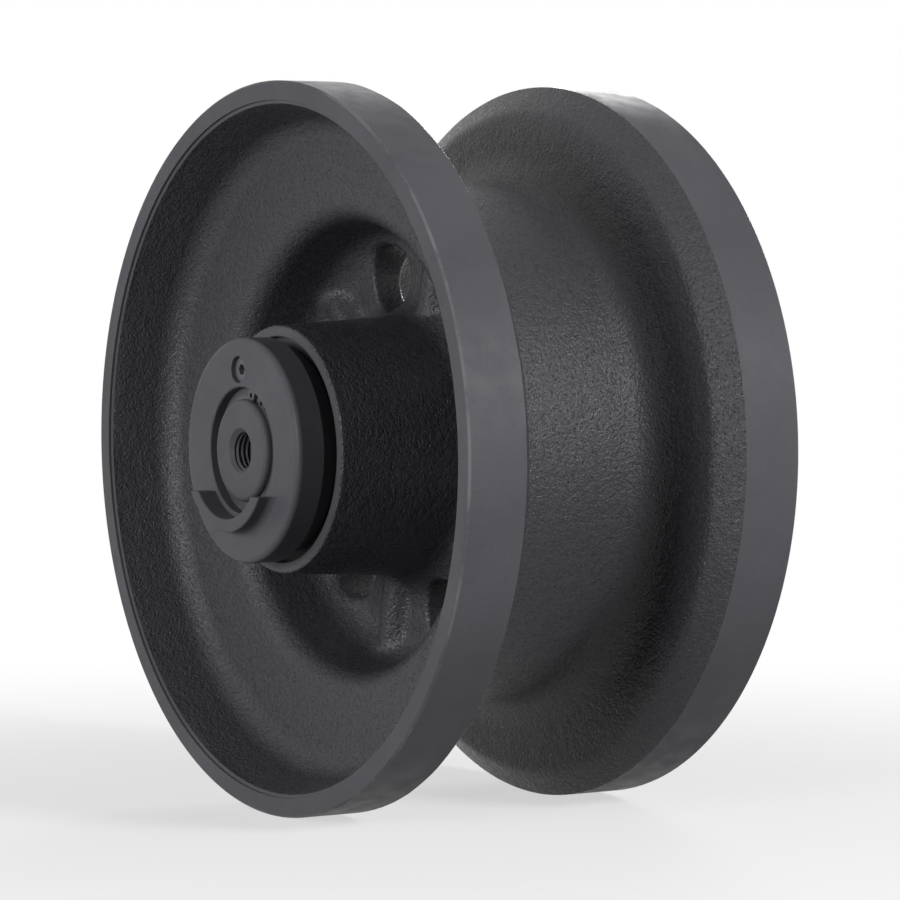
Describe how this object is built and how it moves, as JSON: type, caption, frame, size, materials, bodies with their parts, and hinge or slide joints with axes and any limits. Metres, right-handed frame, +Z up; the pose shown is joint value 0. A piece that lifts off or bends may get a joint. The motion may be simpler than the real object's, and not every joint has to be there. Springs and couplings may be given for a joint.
{
  "type": "excavator front idler",
  "caption": "Twin-rim front idler for a track: a dished cast wheel with a guide groove, turning on a fixed shaft with lipped end collars and tapped ends.",
  "frame": {"origin": "centre of the wheel, on its axis, midway between the two rims", "axes": "+Y along the wheel axis from the near end to the far end, +Z up with the locating lips below the axis, +X to the right when the near end faces the viewer"},
  "size_m": [0.36, 0.2394, 0.36],
  "materials": {
    "cast_paint": "dark charcoal paint over a sand-cast skin, semi-matte",
    "machined_paint": "dark charcoal paint over turned faces, satin",
    "plug_steel": "dark charcoal paint, satin",
    "spring_steel": "blackened spring steel",
    "bush_bronze": "turned bronze",
    "seal_iron": "lapped iron",
    "rubber": "matte rubber"
  },
  "bodies": {
    "axle": {"shaft": "machined_paint", "near_collar": "machined_paint", "near_oil_plug": "plug_steel", "near_retaining_ring": "spring_steel", "near_shaft_o_ring": "rubber", "near_collar_seal_ring": "seal_iron", "near_collar_toric_ring": "rubber", "far_collar": "machined_paint", "far_oil_plug": "plug_steel", "far_retaining_ring": "spring_steel", "far_shaft_o_ring": "rubber", "far_collar_seal_ring": "seal_iron", "far_collar_toric_ring": "rubber"},
    "wheel": {"idler_wheel": "cast_paint", "near_bush": "bush_bronze", "near_wheel_seal_ring": "seal_iron", "near_wheel_toric_ring": "rubber", "far_bush": "bush_bronze", "far_wheel_seal_ring": "seal_iron", "far_wheel_toric_ring": "rubber"}
  },
  "joints": [
    {"name": "wheel_turn", "type": "hinge", "parent": "axle", "child": "wheel", "pos_m": [0, 0, 0], "axis": [0, 1, 0], "continuous": true}
  ]
}
